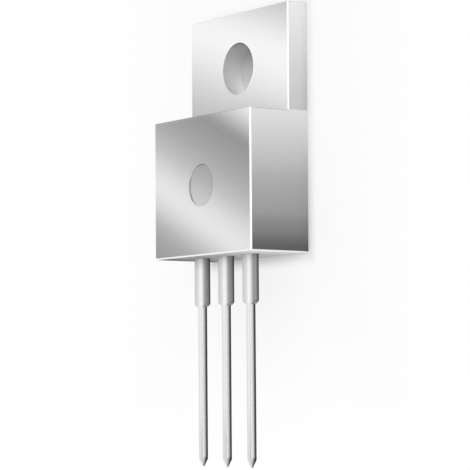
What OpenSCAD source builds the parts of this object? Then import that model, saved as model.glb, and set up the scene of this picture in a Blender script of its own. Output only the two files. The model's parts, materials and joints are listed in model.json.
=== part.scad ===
// Schottky diode pair in a three-lead power package with a screw tab.
// It lies on its back: the mounting face is at z = 0, the tab points to +y and the leads to -y.
// The origin is on the axis of the tab's screw hole, at the mounting face.

/* [Moulded body] */
// Width of the body, and of the tab that is flush with it
body_w = 10.2; // [9.7:0.1:10.6]
// Height of the body, from the tab's foot to the lead side
body_h = 8.5; // [8.4:0.1:9]
// Thickness of the body, from the mounting face to the front
body_t = 4.2; // [4:0.1:4.8]
// Radius on the body's edges
body_edge_r = 0.15; // [0.08:0.01:0.2]
// Diameter of the round mark that the mould's ejector pin leaves in the front
pin_mark_d = 2.6; // [1.6:0.1:3.4]
// Depth of that mark
pin_mark_depth = 0.08; // [0.04:0.01:0.2]

/* [Tab and plate] */
// Height of the tab above the body
tab_h = 6.5; // [5.9:0.1:6.8]
// Thickness of the tab and of its plate inside the body
tab_t = 1.4; // [1.1:0.05:1.5]
// Radius on the tab's front edges
tab_edge_r = 0.12; // [0.06:0.01:0.2]
// Diameter of the screw hole
hole_d = 3.2; // [3:0.1:4]
// Distance of the screw hole's axis from the body
hole_from_body = 3.05; // [2.8:0.05:3.4]
// Width of moulding beside the plate, on each side
plate_side_cover = 0.9; // [0.6:0.05:1.1]
// Height of moulding between the plate's end and the lead side of the body
plate_end_cover = 1.25; // [1.1:0.05:1.4]
// Width of the groove across the plate that locks it in the moulding
lock_groove_w = 0.5; // [0.3:0.05:0.8]
// Depth of that groove
lock_groove_depth = 0.2; // [0.1:0.05:0.4]
// Distance of the groove from the tab's foot
lock_groove_from_tab = 0.5; // [0.3:0.05:0.7]

/* [Leads] */
// Distance from lead to lead
lead_pitch = 2.54; // [2.4:0.02:2.7]
// Length of the leads outside the body
lead_l = 12.7; // [10:0.1:14.5]
// Thickness of the lead strip
lead_t = 0.44; // [0.36:0.02:0.6]
// Height of the leads' middle plane above the mounting face
lead_z = 2.4; // [2.2:0.05:2.6]
// Width of the shoulder next to the body
shoulder_w = 1.25; // [1.1:0.05:1.5]
// Length of the shoulder at its full width
shoulder_l = 2.75; // [2:0.05:3.5]
// Length of the taper from the shoulder to the thin part
shoulder_taper_l = 0.22; // [0.15:0.01:0.5]
// Width of the thin part
lead_w = 0.52; // [0.44:0.02:0.8]
// Radius on the long edges of the leads
lead_edge_r = 0.14; // [0.05:0.01:0.16]
// Length of the pointed tip
tip_l = 0.6; // [0.3:0.05:0.9]
// Size of the blunt end of the tip, both ways
tip_end = 0.07; // [0.05:0.01:0.2]
// Slope of the middle lead's step down to the plate, in degrees from the plate
step_angle = 60; // [50:1:70]
// Length of the middle lead's strip between its step and the lead side of the body
step_cover = 0.3; // [0.2:0.05:0.4]

/* [Bonding pads] */
// Width of the pad at the inner end of an anode lead
pad_w = 2.1; // [1.8:0.05:2.4]
// Length of the pad
pad_l = 1.3; // [1.1:0.05:1.6]
// Length of the shoulder's strip between the pad and the lead side of the body
pad_cover = 0.6; // [0.5:0.05:0.8]

/* [Dies] */
// Side of a square die
die_w = 2.6; // [2.3:0.1:3]
// Thickness of a die
die_t = 0.28; // [0.2:0.02:0.36]
// Gap between the two dies
die_gap = 1.1; // [0.8:0.05:1.5]
// Distance from the tab's foot to the dies
die_from_tab = 1.9; // [1.6:0.05:2.2]
// Thickness of the solder under a die
solder_t = 0.06; // [0.04:0.01:0.1]
// Width of the solder that shows round a die
solder_rim = 0.12; // [0.05:0.01:0.2]

/* [Bond wires] */
// Diameter of a bond wire
wire_d = 0.38; // [0.3:0.02:0.42]
// Distance between the two wires of one die
wire_gap = 0.9; // [0.7:0.05:1]
// Length of the foot of a wire, which the bonding tool flattens
wire_foot_l = 0.8; // [0.6:0.05:1]
// Width of a foot
wire_foot_w = 0.48; // [0.44:0.02:0.56]
// Height of a foot
wire_foot_h = 0.3; // [0.26:0.01:0.34]
// Distance from the die's far edge to the wire's foot on it
wire_from_die_edge = 0.8; // [0.5:0.05:1.1]
// Distance from the pad's inner end to the wire's foot on it
wire_from_pad_end = 0.2; // [0.1:0.05:0.3]
// Height of a wire's arch above the straight line from foot to foot
wire_arch_h = 0.95; // [0.7:0.05:1.2]

/* [Hidden] */
$fn = 48;

LEFT = -1;
RIGHT = 1;
OUTER = 1;
INNER = -1;

// Places along y, from the tab's top down to the lead tips
tab_top_y = tab_h - hole_from_body;
body_top_y = -hole_from_body;
body_end_y = body_top_y - body_h;
plate_end_y = body_end_y + plate_end_cover;
step_end_y = body_end_y + step_cover;
pad_end_y = body_end_y + pad_cover;
pad_inner_y = pad_end_y + pad_l;
shoulder_end_y = body_end_y - shoulder_l;
thin_start_y = shoulder_end_y - shoulder_taper_l;
tip_y = body_end_y - lead_l;
tip_start_y = tip_y + tip_l;

plate_w = body_w - 2 * plate_side_cover;

// Heights above the mounting face
lead_bottom_z = lead_z - lead_t / 2;
lead_top_z = lead_z + lead_t / 2;
die_bottom_z = tab_t + solder_t;
die_top_z = die_bottom_z + die_t;

// Places of the dies and of the wires' feet
die_x = (die_gap + die_w) / 2;
die_top_y = body_top_y - die_from_tab;
die_foot_y = die_top_y - wire_from_die_edge;
pad_foot_y = pad_inner_y - wire_from_pad_end;
// The wires of a die share the width in which the die and its pad lie in line
wire_x = (max(die_x - die_w / 2, lead_pitch - pad_w / 2)
    + min(die_x + die_w / 2, lead_pitch + pad_w / 2)) / 2;

// Draws a profile given in y and z, and pulls it along x
module along_x(length) {
    rotate([90, 0, 90]) linear_extrude(length, center = true) children();
}

// Draws a profile given in x and z, and pulls it along y from one place down to another
module along_y(from_y, to_y) {
    translate([0, from_y, 0]) rotate([90, 0, 0]) linear_extrude(from_y - to_y) children();
}

// A rectangle from the origin with the chosen corners rounded, as pairs of 0 and 1 for right and top
module rounded_corners(size, r, corners) {
    difference() {
        square(size);
        for (c = corners)
            translate([c[0] * size[0], c[1] * size[1]]) square(2 * r, center = true);
    }
    for (c = corners)
        translate([r + c[0] * (size[0] - 2 * r), r + c[1] * (size[1] - 2 * r)]) circle(r);
}

// The strip of a lead, centred on x = 0, with its long edges rounded
module rounded_strip(width, from_y, to_y) {
    along_y(from_y, to_y)
        translate([-width / 2, lead_bottom_z])
            rounded_corners([width, lead_t], lead_edge_r, [[0, 0], [1, 0], [0, 1], [1, 1]]);
}

// Outline of a lead seen from the front: shoulder, taper, thin part and tip
module lead_outline(start_y) {
    half = [
        [shoulder_w / 2, start_y], [shoulder_w / 2, shoulder_end_y], [lead_w / 2, thin_start_y],
        [lead_w / 2, tip_start_y], [tip_end / 2, tip_y]
    ];
    last = len(half) - 1;
    polygon(concat(half, [for (i = [last:-1:0]) [-half[i][0], half[i][1]]]));
}

// Outline of a lead seen from the side: full thickness down to the tip, which is coined to a point
module lead_side(start_y) {
    half = [[start_y, lead_t / 2], [tip_start_y, lead_t / 2], [tip_y, tip_end / 2]];
    last = len(half) - 1;
    translate([0, lead_z])
        polygon(concat(half, [for (i = [last:-1:0]) [half[i][0], -half[i][1]]]));
}

// One lead from a place inside the body to its tip, centred on x = 0
module lead(start_y) {
    intersection() {
        union() {
            rounded_strip(shoulder_w, start_y, thin_start_y);
            rounded_strip(lead_w, start_y, tip_y);
        }
        linear_extrude(body_t) lead_outline(start_y);
        along_x(shoulder_w) lead_side(start_y);
    }
}

// The moulded block before anything is taken out of it
module body_block() {
    intersection() {
        translate([-body_w / 2, body_end_y, 0])
            linear_extrude(body_t)
                rounded_corners([body_w, body_h], body_edge_r, [[0, 0], [1, 0], [0, 1], [1, 1]]);
        along_y(body_top_y, body_end_y)
            translate([-body_w / 2, 0])
                rounded_corners([body_w, body_t], body_edge_r, [[0, 1], [1, 1]]);
        along_x(body_w)
            translate([body_end_y, 0])
                rounded_corners([body_h, body_t], body_edge_r, [[0, 1], [1, 1]]);
    }
    // Behind the tab's front face the body keeps square corners, flush with the tab
    translate([-body_w / 2, body_top_y - 2 * body_edge_r, 0])
        cube([body_w, 2 * body_edge_r, tab_t]);
}

// The tab outside the body, with its front and top edges rounded
module tab_block() {
    intersection() {
        translate([-body_w / 2, body_top_y, 0])
            linear_extrude(tab_t)
                rounded_corners([body_w, tab_h], tab_edge_r, [[0, 1], [1, 1]]);
        along_y(tab_top_y, body_top_y)
            translate([-body_w / 2, 0])
                rounded_corners([body_w, tab_t], tab_edge_r, [[0, 1], [1, 1]]);
        along_x(body_w)
            translate([body_top_y, 0])
                rounded_corners([tab_h, tab_t], tab_edge_r, [[1, 1]]);
    }
}

// The tab's plate from the level of the screw hole down into the body, with the groove that locks
// it in the moulding
module plate_block() {
    groove_y = body_top_y - lock_groove_from_tab - lock_groove_w;
    difference() {
        translate([-plate_w / 2, plate_end_y, 0]) cube([plate_w, -plate_end_y, tab_t]);
        translate([-plate_w / 2, groove_y, tab_t - lock_groove_depth])
            cube([plate_w, lock_groove_w, lock_groove_depth]);
    }
}

// The middle lead's strip inside the body, where it steps up from the plate to the plane of the leads
module cathode_step() {
    rise = lead_top_z - tab_t;
    run = rise / tan(step_angle);
    // The strip keeps its thickness on the slope
    offset_y = lead_t * tan(step_angle / 2);
    // Its foot lies in the plate, and past the slope it lies in the lead, still inside the body
    foot_y = plate_end_y + 2 * lead_t;
    flat_end_y = step_end_y - step_cover / 2;
    along_x(shoulder_w)
        polygon([
            [foot_y, tab_t],
            [step_end_y + run + offset_y, tab_t],
            [step_end_y + offset_y, lead_top_z],
            [flat_end_y, lead_top_z],
            [flat_end_y, lead_bottom_z],
            [step_end_y, lead_bottom_z],
            [step_end_y + run, tab_t - lead_t],
            [foot_y, tab_t - lead_t]
        ]);
}

module tab_and_cathode_lead_shape() {
    difference() {
        union() {
            tab_block();
            plate_block();
            cathode_step();
            lead(step_end_y);
        }
        translate([0, 0, -tab_t]) cylinder(h = 3 * tab_t, d = hole_d);
    }
}

module anode_lead_shape(side) {
    translate([side * lead_pitch, 0, 0]) {
        lead(pad_inner_y);
        translate([-pad_w / 2, pad_end_y, lead_bottom_z]) cube([pad_w, pad_l, lead_t]);
    }
}

module die_solder_shape(side) {
    size = die_w + 2 * solder_rim;
    translate([side * die_x - size / 2, die_top_y + solder_rim - size, tab_t])
        cube([size, size, solder_t]);
}

module die_shape(side) {
    translate([side * die_x - die_w / 2, die_top_y - die_w, die_bottom_z])
        cube([die_w, die_w, die_t]);
}

// A foot of a wire: a round back on the flat face that it is bonded to, down from one place along y
module wire_foot(from_y, surface_z) {
    intersection() {
        translate([0, from_y, surface_z + wire_foot_h - wire_foot_w / 2])
            rotate([90, 0, 0]) cylinder(h = wire_foot_l, d = wire_foot_w);
        translate([-wire_foot_w, from_y - wire_foot_l, surface_z])
            cube([2 * wire_foot_w, wire_foot_l, wire_foot_w]);
    }
}

// A bond wire arches from its foot on the die to its foot on the pad, as part of a ring
module bond_wire_shape(side, place) {
    start = [die_foot_y - wire_foot_l + wire_d / 2, die_top_z + wire_foot_h / 2];
    end = [pad_foot_y - wire_d / 2, lead_top_z + wire_foot_h / 2];
    chord = start - end;
    half = norm(chord) / 2;
    ring_r = (half * half + wire_arch_h * wire_arch_h) / (2 * wire_arch_h);
    centre = (start + end) / 2 + (ring_r - wire_arch_h) * [chord[1], -chord[0]] / norm(chord);
    below = 2 * ring_r;
    translate([side * (wire_x + place * wire_gap / 2), 0, 0]) {
        difference() {
            translate([0, centre[0], centre[1]])
                rotate([0, 90, 0])
                    rotate_extrude() translate([ring_r, 0]) circle(d = wire_d);
            translate([-wire_d, centre[0], die_top_z - below]) cube([2 * wire_d, below, below]);
            translate([-wire_d, centre[0] - below, lead_top_z - below]) cube([2 * wire_d, below, below]);
        }
        wire_foot(die_foot_y, die_top_z);
        wire_foot(pad_foot_y, lead_top_z);
    }
}

// Everything that the moulding flows round
module moulded_in() {
    tab_and_cathode_lead_shape();
    for (side = [LEFT, RIGHT]) {
        anode_lead_shape(side);
        die_solder_shape(side);
        die_shape(side);
        for (place = [INNER, OUTER]) bond_wire_shape(side, place);
    }
}

module moulded_body() {
    color([0.74, 0.74, 0.75])
        difference() {
            body_block();
            moulded_in();
            translate([0, (body_top_y + body_end_y) / 2, body_t - pin_mark_depth])
                cylinder(h = 2 * pin_mark_depth, d = pin_mark_d);
        }
}

module tab_and_cathode_lead() {
    color([0.82, 0.82, 0.83]) tab_and_cathode_lead_shape();
}

module anode_lead(side) {
    color([0.82, 0.82, 0.83]) anode_lead_shape(side);
}

module die(side) {
    color([0.25, 0.26, 0.29]) die_shape(side);
}

module die_solder(side) {
    color([0.62, 0.62, 0.64]) die_solder_shape(side);
}

module bond_wire(side, place) {
    color([0.88, 0.88, 0.89]) bond_wire_shape(side, place);
}

moulded_body();
tab_and_cathode_lead();
anode_lead(LEFT);  // anode_lead_left
anode_lead(RIGHT);  // anode_lead_right
die(LEFT);  // die_left
die(RIGHT);  // die_right
die_solder(LEFT);  // die_solder_left
die_solder(RIGHT);  // die_solder_right
bond_wire(LEFT, OUTER);  // bond_wire_left_outer
bond_wire(LEFT, INNER);  // bond_wire_left_inner
bond_wire(RIGHT, INNER);  // bond_wire_right_inner
bond_wire(RIGHT, OUTER);  // bond_wire_right_outer
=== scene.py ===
"""Looks of a Schottky diode pair in a three-lead power package with a screw tab, lying on its back.

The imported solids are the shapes, and this script gives each of them its finish. Places in the
finishes are in millimetres of the row frame, and tones are display levels from 0 to 255.
"""
import json
import math

import bpy
from mathutils import Matrix, Vector


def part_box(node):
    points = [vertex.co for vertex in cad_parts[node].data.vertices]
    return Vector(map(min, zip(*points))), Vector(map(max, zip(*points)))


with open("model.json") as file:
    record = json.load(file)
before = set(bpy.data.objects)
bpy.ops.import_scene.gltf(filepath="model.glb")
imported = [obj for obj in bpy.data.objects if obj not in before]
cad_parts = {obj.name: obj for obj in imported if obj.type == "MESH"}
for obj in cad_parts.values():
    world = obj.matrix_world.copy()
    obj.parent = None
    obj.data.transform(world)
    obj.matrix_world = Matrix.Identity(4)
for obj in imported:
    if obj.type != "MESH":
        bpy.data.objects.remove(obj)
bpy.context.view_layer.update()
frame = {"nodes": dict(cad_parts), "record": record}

MM = 0.001
scene = bpy.context.scene


def box_mm(node):
    """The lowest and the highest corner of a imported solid, in millimetres."""
    return [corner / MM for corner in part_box(node)]


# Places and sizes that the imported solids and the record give
body_low, body_high = box_mm("moulded_body")
tab_low, tab_high = box_mm("tab_and_cathode_lead")
lead_low, lead_high = box_mm("anode_lead_right")
mounts = {mount["name"]: mount for mount in frame["record"]["mounts"]}
HALF_W = body_high.x
BODY_TOP_Y = body_high.y
BODY_END_Y = body_low.y
BODY_FRONT_Z = body_high.z
TAB_TOP_Y = tab_high.y
HOLE_R = mounts["tab_hole"]["dims"]["r_mm"]
LEAD_PITCH = (lead_low.x + lead_high.x) / 2
LEAD_Z = (lead_low.z + lead_high.z) / 2
LEAD_HALF_T = (lead_high.z - lead_low.z) / 2
TIP_Y = tab_low.y

# Places and sizes that don't show in the boxes, as in the part's source
PIN_MARK_Y = (BODY_TOP_Y + BODY_END_Y) / 2
PIN_MARK_R = 1.3
SHOULDER_W = 1.25
SHOULDER_L = 2.75
TAPER_L = 0.22
THIN_START_Y = BODY_END_Y - SHOULDER_L - TAPER_L

# How steeply the painted bands of sheen and shade climb to the left, in mm for each mm across
BODY_BAND_SLANT = 0.48
TAB_BAND_SLANT = 0.33
HOLE_BAND_SLANT = 0.5

# The places of a Mix node's colour sockets, which share their names with its other sockets
COLOUR_A = 6
COLOUR_B = 7
COLOUR_OUT = 2

# The photograph's frame and the fitted view, in pixels
PHOTO_PX = 470
FOCAL_PX = 2256.9
CENTRE_PX = (232.1, 256.8)


def neutral(value):
    """A grey of a linear value from 0 to 1."""
    return (value, value, value, 1.0)


def grey(level):
    """The grey that a display shows at a level from 0 to 255."""
    share = level / 255
    return neutral(share / 12.92 if share <= 0.04045 else ((share + 0.055) / 1.055) ** 2.4)


WHITE = neutral(1.0)
PAPER = neutral(0.95)
CEILING = neutral(0.68)


class Wire:
    """An output of a node. Arithmetic on it adds Math nodes."""

    def __init__(self, finish, socket):
        self.finish = finish
        self.socket = socket

    def maths(self, operation, *values):
        return self.finish.node("Math", {"operation": operation}, dict(enumerate(values)))

    def __add__(self, other):
        return self.maths("ADD", self, other)

    __radd__ = __add__

    def __sub__(self, other):
        return self.maths("SUBTRACT", self, other)

    def __rsub__(self, other):
        return self.maths("SUBTRACT", other, self)

    def __mul__(self, other):
        return self.maths("MULTIPLY", self, other)

    __rmul__ = __mul__

    def __abs__(self):
        return self.maths("ABSOLUTE", self)

    def larger(self, other):
        return self.maths("MAXIMUM", self, other)


class Finish:
    """A node tree that is built node by node: a material's or the world's."""

    def __init__(self, owner):
        self.owner = owner
        owner.use_nodes = True
        self.tree = owner.node_tree
        self.tree.nodes.clear()

    def node(self, kind, settings, inputs, output=0):
        """Adds a node, makes its settings, then fills or links its sockets."""
        made = self.tree.nodes.new("ShaderNode" + kind)
        for name, value in settings.items():
            if name == "stops":
                set_stops(made.color_ramp, value)
            else:
                setattr(made, name, value)
        for key, value in inputs.items():
            if isinstance(value, Wire):
                self.tree.links.new(value.socket, made.inputs[key])
            else:
                made.inputs[key].default_value = value
        return Wire(self, made.outputs[output]) if made.outputs else made

    def rise(self, value, low, high):
        """0 below low, 1 above high, and smooth between them. With low above high it falls."""
        return self.node(
            "MapRange", {"interpolation_type": "SMOOTHSTEP"},
            {"Value": value, "From Min": low, "From Max": high},
        )

    def tones(self, value, *stops):
        """A grey that runs smoothly through (place in mm, display level) pairs."""
        low, high = stops[0][0], stops[-1][0]
        share = self.node("MapRange", {}, {"Value": value, "From Min": low, "From Max": high})
        placed = [((place - low) / (high - low), grey(level)) for place, level in stops]
        return self.node("ValToRGB", {"stops": placed}, {"Fac": share})

    def mix(self, share, first, second):
        """Runs from the first colour to the second."""
        return self.node(
            "Mix", {"data_type": "RGBA"},
            {"Factor": share, COLOUR_A: first, COLOUR_B: second}, COLOUR_OUT,
        )

    def shade(self, colour, factor):
        """A colour made darker or lighter by a factor."""
        return self.node(
            "VectorMath", {"operation": "SCALE"}, {"Vector": colour, "Scale": factor}
        )

    def place(self):
        """x, y and z on the part, in millimetres."""
        spot = self.node("TexCoord", {}, {}, "Object")
        return [self.node("SeparateXYZ", {}, {0: spot}, axis) * (1 / MM) for axis in "XYZ"]

    def facing(self):
        """How far the surface faces along x, y and z, from -1 to 1."""
        normal = self.node("TexCoord", {}, {}, "Normal")
        return [self.node("SeparateXYZ", {}, {0: normal}, axis) for axis in "XYZ"]

    def flat_to(self, face):
        """1 on the flats that face along an axis, from how far the surface faces along it."""
        return self.rise(face, 0.6, 0.8)

    def rounded_edge(self, face_x, face_y, face_z):
        """1 where the surface faces along none of the axes, and 0 on the flats."""
        return self.rise(abs(face_x).larger(abs(face_y)).larger(abs(face_z)), 0.985, 0.86)

    def length(self, first, second):
        """The length of the step that two wires give, one square to the other."""
        step = self.node("CombineXYZ", {}, {"X": first, "Y": second})
        return self.node("VectorMath", {"operation": "LENGTH"}, {0: step}, "Value")

    def grain(self, cell, detail=2.0):
        """Noise from 0 to 1 whose cells are that many millimetres, along x, y and z."""
        spot = self.node("TexCoord", {}, {}, "Object")
        scaled = self.node(
            "VectorMath", {"operation": "MULTIPLY"}, {0: spot, 1: [1 / MM / size for size in cell]}
        )
        return self.node("TexNoise", {}, {"Vector": scaled, "Scale": 1.0, "Detail": detail})

    def relief(self, height, strength, depth):
        """The normal over a height map, with that depth in millimetres."""
        return self.node(
            "Bump", {}, {"Height": height, "Strength": strength, "Distance": depth * MM}
        )

    def is_ray(self, kind):
        """1 on a ray of that kind, and 0 on others."""
        return self.node("LightPath", {}, {}, f"Is {kind} Ray")

    def seen_directly(self):
        """1 for what the camera sees, also in metal and through glass, and 0 for light on the part."""
        through = self.is_ray("Transmission")
        return self.is_ray("Camera").larger(self.is_ray("Glossy")).larger(through)

    def blend(self, share, first, second):
        """Runs from the first shader to the second."""
        return self.node("MixShader", {}, {0: share, 1: first, 2: second})

    def end_in(self, shader, output="OutputMaterial"):
        """Ends the tree in a shader."""
        self.node(output, {}, {"Surface": shader})
        return self.owner

    def surface(self, **sockets):
        """Ends the tree in a Principled shader, whose sockets are named with _ for a space."""
        named = {name.replace("_", " "): value for name, value in sockets.items()}
        return self.end_in(self.node("BsdfPrincipled", {}, named))


def set_stops(ramp, stops):
    """Gives a colour ramp its (share, colour) stops, with a smooth curve through them."""
    ramp.interpolation = "CARDINAL"
    while len(ramp.elements) < len(stops):
        ramp.elements.new(1.0)
    for element, (place, colour) in zip(ramp.elements, stops):
        element.position = place
        element.color = colour


def new_finish(name):
    return Finish(bpy.data.materials.new(name))


def satin_moulding():
    """Silver-grey satin moulding: broad bands of painted sheen and shade, fine grain and painted edge
    highlights.
    """
    f = new_finish("satin_moulding")
    x, y, z = f.place()
    face_x, face_y, face_z = f.facing()

    # Painted sheen and shade: bands across the front, and sides that darken towards the lead end
    front = f.tones(
        y + x * BODY_BAND_SLANT,
        (-14.0, 152), (-11.6, 187), (-9.4, 240), (-6.9, 201), (-3.6, 154), (-2.4, 178), (-0.6, 252),
    )
    side = f.tones(
        y, (BODY_END_Y, 80), (-10.6, 121), (-9.3, 160), (-6.6, 196), (BODY_TOP_Y, 240)
    )
    colour = f.mix(f.flat_to(abs(face_x)), front, side)

    # Painted shade and light: the side that the leads leave is lighter to the right, and also at the
    # back on the left
    lead_side = f.tones(
        x, (-HALF_W, 62), (-4.2, 108), (-3.0, 158), (0.0, 183), (3.0, 219), (HALF_W, 243)
    )
    painted_light_back_left = f.rise(z, BODY_FRONT_Z, 0.0) * f.rise(x, HALF_W, 0.0)
    on_lead_side = f.flat_to(0 - face_y)
    colour = f.mix(on_lead_side, colour, f.shade(lead_side, 1 + painted_light_back_left * 0.5))

    # Painted shade: the floor of the ejector pin's mark is darker, most of all inside its upper left
    # rim, least at its lit lower right
    from_mark = f.length(x, y - PIN_MARK_Y)
    near_front = f.rise(z, BODY_FRONT_Z - 0.2, BODY_FRONT_Z - 0.15)
    in_mark = f.rise(from_mark, PIN_MARK_R, PIN_MARK_R - 0.04) * near_front
    at_rim = f.rise(from_mark, PIN_MARK_R - 0.10, PIN_MARK_R - 0.02)
    lit_lower_right = f.rise(x - (y - PIN_MARK_Y), -1.6, 1.6)
    colour = f.shade(colour, 1 - in_mark * (0.2 + at_rim * (0.3 - lit_lower_right * 0.45)))

    # Painted shade: the seam round each lead is darker too. Folding x twice brings every lead's middle
    # to 0
    half_pitch = LEAD_PITCH / 2
    from_middle = abs(abs(abs(x) - half_pitch) - half_pitch)
    beside_lead = (from_middle - SHOULDER_W / 2).larger(0)
    above_lead = (abs(z - LEAD_Z) - LEAD_HALF_T).larger(0)
    seam_w = 0.15
    seam_shade = f.rise(f.length(beside_lead, above_lead), seam_w, 0.02) * on_lead_side
    colour = f.shade(colour, 1 - seam_shade * 0.55)

    # Painted highlight on the rounded edges at the front and round the lead side, painted shade on the
    # one above the tab
    rounded = f.rounded_edge(face_x, face_y, face_z)
    shaded_edge_above_tab = rounded * f.rise(face_y, 0.1, 0.5)
    at_front = f.rise(face_z, 0.02, 0.2)
    round_lead_side = f.rise(face_y, -0.1, -0.4)
    edge_highlight = rounded * at_front.larger(round_lead_side) * (1 - shaded_edge_above_tab)
    colour = f.mix(edge_highlight, f.shade(colour, 1 - shaded_edge_above_tab * 0.25), grey(254))

    grain = f.grain((0.07, 0.07, 0.07))
    mottle = f.grain((1.6, 1.6, 1.6), detail=3.0)
    return f.surface(
        Base_Color=f.shade(colour, 0.965 + grain * 0.05 + mottle * 0.02),
        Metallic=edge_highlight * 0.8,
        Roughness=0.40 + grain * 0.12 + mottle * 0.06 - edge_highlight * 0.22 + on_lead_side * 0.3,
        Normal=f.relief(grain, 0.25, 0.006),
    )


def lead_tone(f, middle):
    """Tone of a plated lead: a painted highlight, brightest right of its middle, with sides in painted
    shade that darken to the back.
    """
    x, y, z = f.place()
    face_x, face_y, face_z = f.facing()
    across = x - middle
    height = z - LEAD_Z
    is_thin = f.rise(y, THIN_START_Y + 0.2, THIN_START_Y)
    near_tip = f.rise(y, TIP_Y + 4.25, TIP_Y + 0.65)

    # Painted highlight and shade across the front of the shoulder and of the thin part
    shoulder = f.tones(
        across, (-0.62, 206), (-0.3, 212), (-0.08, 228), (0.15, 245), (0.38, 208), (0.62, 155)
    )
    thin = f.tones(across, (-0.26, 218), (-0.08, 227), (0.06, 237), (0.2, 236))
    thin_at_tip = f.tones(across, (-0.26, 221), (0.02, 221), (0.16, 205), (0.26, 200))
    front = f.mix(is_thin, shoulder, f.mix(near_tip, thin, thin_at_tip))

    # Painted shade: the sides darken towards the back
    shoulder_side = f.tones(
        height, (-LEAD_HALF_T, 16), (-0.13, 40), (-0.03, 122), (0.1, 162), (LEAD_HALF_T, 195)
    )
    thin_side = f.tones(
        height, (-LEAD_HALF_T, 20), (-0.1, 42), (0.0, 140), (0.09, 222), (LEAD_HALF_T, 230)
    )
    side = f.mix(is_thin, shoulder_side, thin_side)
    colour = f.mix(f.rise(abs(face_x), 0.25, 0.8), front, side)

    # Painted shade: the rounded edge above the side is darkened so it glares less than the flats, on
    # the shoulder most of all
    rounded = f.rise(abs(face_x), 0.15, 0.5) * f.rise(abs(face_x), 1.0, 0.85)
    colour = f.shade(colour, 1 - rounded * (0.45 - is_thin * 0.25))

    # Painted shade: the slanting faces are a little darker at the shoulder's end and more at the tip
    slanting = f.rise(face_y, -0.15, -0.5) * f.rise(abs(face_x), 0.1, 0.5)
    colour = f.shade(colour, 1 - slanting * (0.05 + near_tip * 0.4))

    # Painted shade: the back, towards the floor, is dark
    return f.mix(f.rise(face_z, -0.05, -0.45), colour, grey(30))


def plated(f, colour):
    """Ends a finish in tin plate: fine lines along the strip and a soft mottle."""
    lines = f.grain((0.06, 2.2, 0.06))
    mottle = f.grain((0.5, 0.9, 0.5), detail=3.0)
    return f.surface(
        Base_Color=f.shade(colour, 0.975 + lines * 0.03 + mottle * 0.02),
        Metallic=1.0,
        Roughness=0.32 + lines * 0.08 + mottle * 0.08,
        Normal=f.relief(lines + mottle, 0.1, 0.002),
    )


def plated_lead(name, middle):
    """The plate of an anode lead, whose middle lies that many millimetres to the right."""
    f = new_finish(name)
    return plated(f, lead_tone(f, middle))


def plated_tab():
    """The plate of the tab, with a painted band of sheen and shade across it, and of the middle lead.
    """
    f = new_finish("plated_tab")
    x, y, _ = f.place()
    face_x, face_y, face_z = f.facing()

    # Painted sheen and shade: a band across the front, and sides that darken towards the body
    front = f.tones(y + x * TAB_BAND_SLANT, (-4.7, 183), (-1.4, 219), (2.0, 240), (5.1, 196))
    side = f.tones(y, (BODY_TOP_Y, 205), (TAB_TOP_Y, 242))
    colour = f.mix(f.flat_to(abs(face_x)), front, side)
    colour = f.mix(f.flat_to(face_y), colour, grey(228))

    # Painted highlight: the rim of the screw hole glints at its upper right. Painted shade: the hole's
    # wall is darker at its top
    from_hole = f.length(x, y)
    rim_glint = f.rise(from_hole, HOLE_R + 0.13, HOLE_R + 0.03) * f.rise(x + y, -1.2, 0.8)
    colour = f.mix(rim_glint, colour, grey(250))
    painted_wall_shade = f.tones(y, (-HOLE_R, 252), (-0.4, 240), (0.6, 208), (HOLE_R, 182))
    on_wall = f.rise(abs(face_z), 0.7, 0.4) * f.rise(from_hole, HOLE_R + 0.2, HOLE_R + 0.1)
    colour = f.mix(on_wall, colour, painted_wall_shade)

    # Painted highlight: the other rounded edges are bright, apart from those of the tab's top end
    off_hole = f.rise(from_hole, HOLE_R + 0.1, HOLE_R + 0.2)
    edge_highlight = f.rounded_edge(face_x, face_y, face_z) * off_hole
    colour = f.mix(edge_highlight * f.rise(face_y, 0.5, 0.2), colour, grey(252))

    on_lead = f.rise(y, BODY_END_Y + 0.5, BODY_END_Y + 0.4)
    return plated(f, f.mix(on_lead, colour, lead_tone(f, 0.0)))


def sawn_silicon():
    """A die: dark blue-grey silicon with sawn sides and a metal face for the wires."""
    f = new_finish("sawn_silicon")
    _, _, face_z = f.facing()
    saw = f.grain((0.4, 0.4, 0.012))
    metal_face = f.rise(face_z, 0.5, 0.9)
    sides = f.mix(saw, (0.035, 0.04, 0.055, 1), (0.07, 0.075, 0.09, 1))
    return f.surface(
        Base_Color=f.mix(metal_face, sides, (0.62, 0.62, 0.64, 1)),
        Metallic=metal_face,
        Roughness=0.30 + saw * 0.2,
        Normal=f.relief(saw, 0.3, 0.004),
    )


def soft_solder():
    """Solder that set under a die: dull and slightly wrinkled."""
    f = new_finish("soft_solder")
    wrinkle = f.grain((0.18, 0.18, 0.18), detail=4.0)
    return f.surface(
        Base_Color=f.mix(wrinkle, (0.33, 0.33, 0.34, 1), (0.47, 0.47, 0.48, 1)),
        Metallic=1.0,
        Roughness=0.38 + wrinkle * 0.2,
        Normal=f.relief(wrinkle, 0.4, 0.01),
    )


def drawn_aluminium():
    """Bond wire: bright drawn aluminium with fine lines along it."""
    f = new_finish("drawn_aluminium")
    lines = f.grain((0.03, 0.9, 0.3))
    return f.surface(
        Base_Color=f.mix(lines, (0.72, 0.72, 0.73, 1), (0.84, 0.84, 0.85, 1)),
        Metallic=1.0,
        Roughness=0.24 + lines * 0.14,
        Normal=f.relief(lines, 0.2, 0.002),
    )


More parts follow.
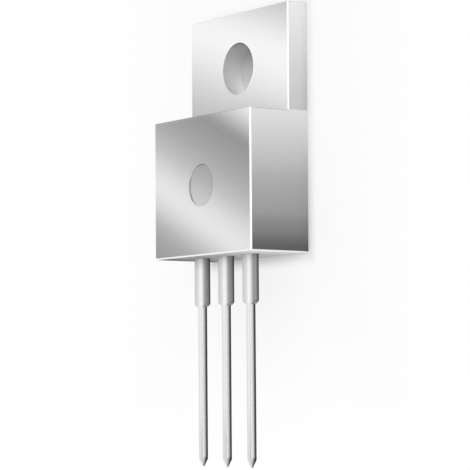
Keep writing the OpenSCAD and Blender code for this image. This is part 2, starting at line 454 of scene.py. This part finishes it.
def pale_floor():
    """White paper with the part's soft shadow, lifted towards plain white away from the part.

    Through the screw hole it shows a painted shade, a run of grey, and from below plain white.
    """
    f = new_finish("pale_floor")
    x, y, _ = f.place()
    middle_y = (TAB_TOP_Y + BODY_END_Y) / 2
    away = (abs(x) - HALF_W).larger(abs(y - middle_y) - (TAB_TOP_Y - middle_y))
    close_by = f.rise(away, -0.3, 0.9)
    further_off = f.rise(away, 0.9, 14)
    underside = f.node("NewGeometry", {}, {}, "Backfacing")
    white_share = (close_by * 0.82 + further_off * 0.18).larger(underside)

    # Painted shade: the paper seen through the screw hole is a run of grey
    in_hole = f.rise(f.length(x, y), HOLE_R + 0.4, HOLE_R + 0.2) * f.is_ray("Camera")
    painted_hole_shade = f.tones(y + x * HOLE_BAND_SLANT, (-2.0, 236), (1.6, 162))
    paper = f.node("BsdfDiffuse", {}, {"Color": f.mix(in_hole, PAPER, painted_hole_shade)})
    white = f.node("Emission", {}, {"Color": WHITE, "Strength": 1.0})
    return f.end_in(f.blend(f.seen_directly() * white_share, paper, white))


def light_world():
    """Even studio light, which the camera and the metal see as white walls under a grey ceiling."""
    world = bpy.data.worlds.new("studio")
    scene.world = world
    f = Finish(world)
    direction = f.node("TexCoord", {}, {}, "Generated")
    overhead = f.rise(f.node("SeparateXYZ", {}, {0: direction}, "Z"), 0.7, 1.0)
    room = f.mix(overhead, WHITE, CEILING)
    soft_light = f.node("Background", {}, {"Color": WHITE, "Strength": 0.72})
    seen_room = f.node("Background", {}, {"Color": room, "Strength": 1.0})
    f.end_in(f.blend(f.seen_directly(), soft_light, seen_room), "OutputWorld")


def add_lamp(name, direction, distance, size, power):
    """A square soft lamp that is aimed at the body, with its distance and size in metres."""
    lamp = bpy.data.lights.new(name, "AREA")
    lamp.size = size
    lamp.energy = power
    holder = bpy.data.objects.new(name, lamp)
    away = Vector(direction).normalized()
    in_body = Vector((0, -8, 2)) * MM
    holder.location = in_body + away * distance
    holder.rotation_mode = "QUATERNION"
    holder.rotation_quaternion = away.to_track_quat("Z", "Y")
    scene.collection.objects.link(holder)


def add_floor():
    """A square floor, a hair below the part so that their faces don't lie in one plane."""
    half_w = 0.6
    hair = 0.01 * MM
    corners = [(-half_w, -half_w), (half_w, -half_w), (half_w, half_w), (-half_w, half_w)]
    mesh = bpy.data.meshes.new("floor")
    mesh.from_pydata([(x, y, -hair) for x, y in corners], [], [(0, 1, 2, 3)])
    mesh.materials.append(pale_floor())
    floor = bpy.data.objects.new("floor", mesh)
    scene.collection.objects.link(floor)


def add_camera():
    """The photograph's view, as fitted to the corners of the body, the tab and the leads."""
    side_turn = math.radians(54.80)
    tilt = math.radians(-3.70)
    roll = math.radians(-0.41)
    distance = 136.95 * MM
    near_lead_feet = Vector((0, BODY_END_Y, 1.95)) * MM
    back = Vector((
        math.sin(side_turn) * math.cos(tilt),
        math.sin(tilt),
        math.cos(side_turn) * math.cos(tilt),
    ))
    right = Vector((0, 1, 0)).cross(back).normalized()
    up = back.cross(right)
    rolled = Matrix.Rotation(roll, 3, back)
    axes = Matrix([rolled @ right, rolled @ up, back]).transposed()

    view = bpy.data.cameras.new("camera")
    view.sensor_width = 36
    view.lens = FOCAL_PX / PHOTO_PX * view.sensor_width
    view.shift_x = (PHOTO_PX / 2 - CENTRE_PX[0]) / PHOTO_PX
    view.shift_y = (CENTRE_PX[1] - PHOTO_PX / 2) / PHOTO_PX
    view.clip_start = 10 * MM
    camera = bpy.data.objects.new("camera", view)
    camera.matrix_world = Matrix.Translation(near_lead_feet + back * distance) @ axes.to_4x4()
    scene.collection.objects.link(camera)
    scene.camera = camera


def dress(finish, *names):
    """Gives the named solids a finish in place of their plain one."""
    for name in names:
        mesh = frame["nodes"][name].data
        mesh.materials.clear()
        mesh.materials.append(finish)


dress(satin_moulding(), "moulded_body")
dress(plated_tab(), "tab_and_cathode_lead")
dress(plated_lead("plated_lead_left", -LEAD_PITCH), "anode_lead_left")
dress(plated_lead("plated_lead_right", LEAD_PITCH), "anode_lead_right")
dress(sawn_silicon(), "die_left", "die_right")
dress(soft_solder(), "die_solder_left", "die_solder_right")
dress(
    drawn_aluminium(),
    "bond_wire_left_outer", "bond_wire_left_inner",
    "bond_wire_right_inner", "bond_wire_right_outer",
)

light_world()
add_lamp("key_lamp", (-0.25, 0.3, 0.92), distance=0.40, size=0.45, power=0.16)
add_lamp("edge_lamp", (0.575, 0.06, 0.815), distance=0.36, size=0.20, power=0.16)
add_floor()
add_camera()
scene.view_settings.view_transform = "Standard"
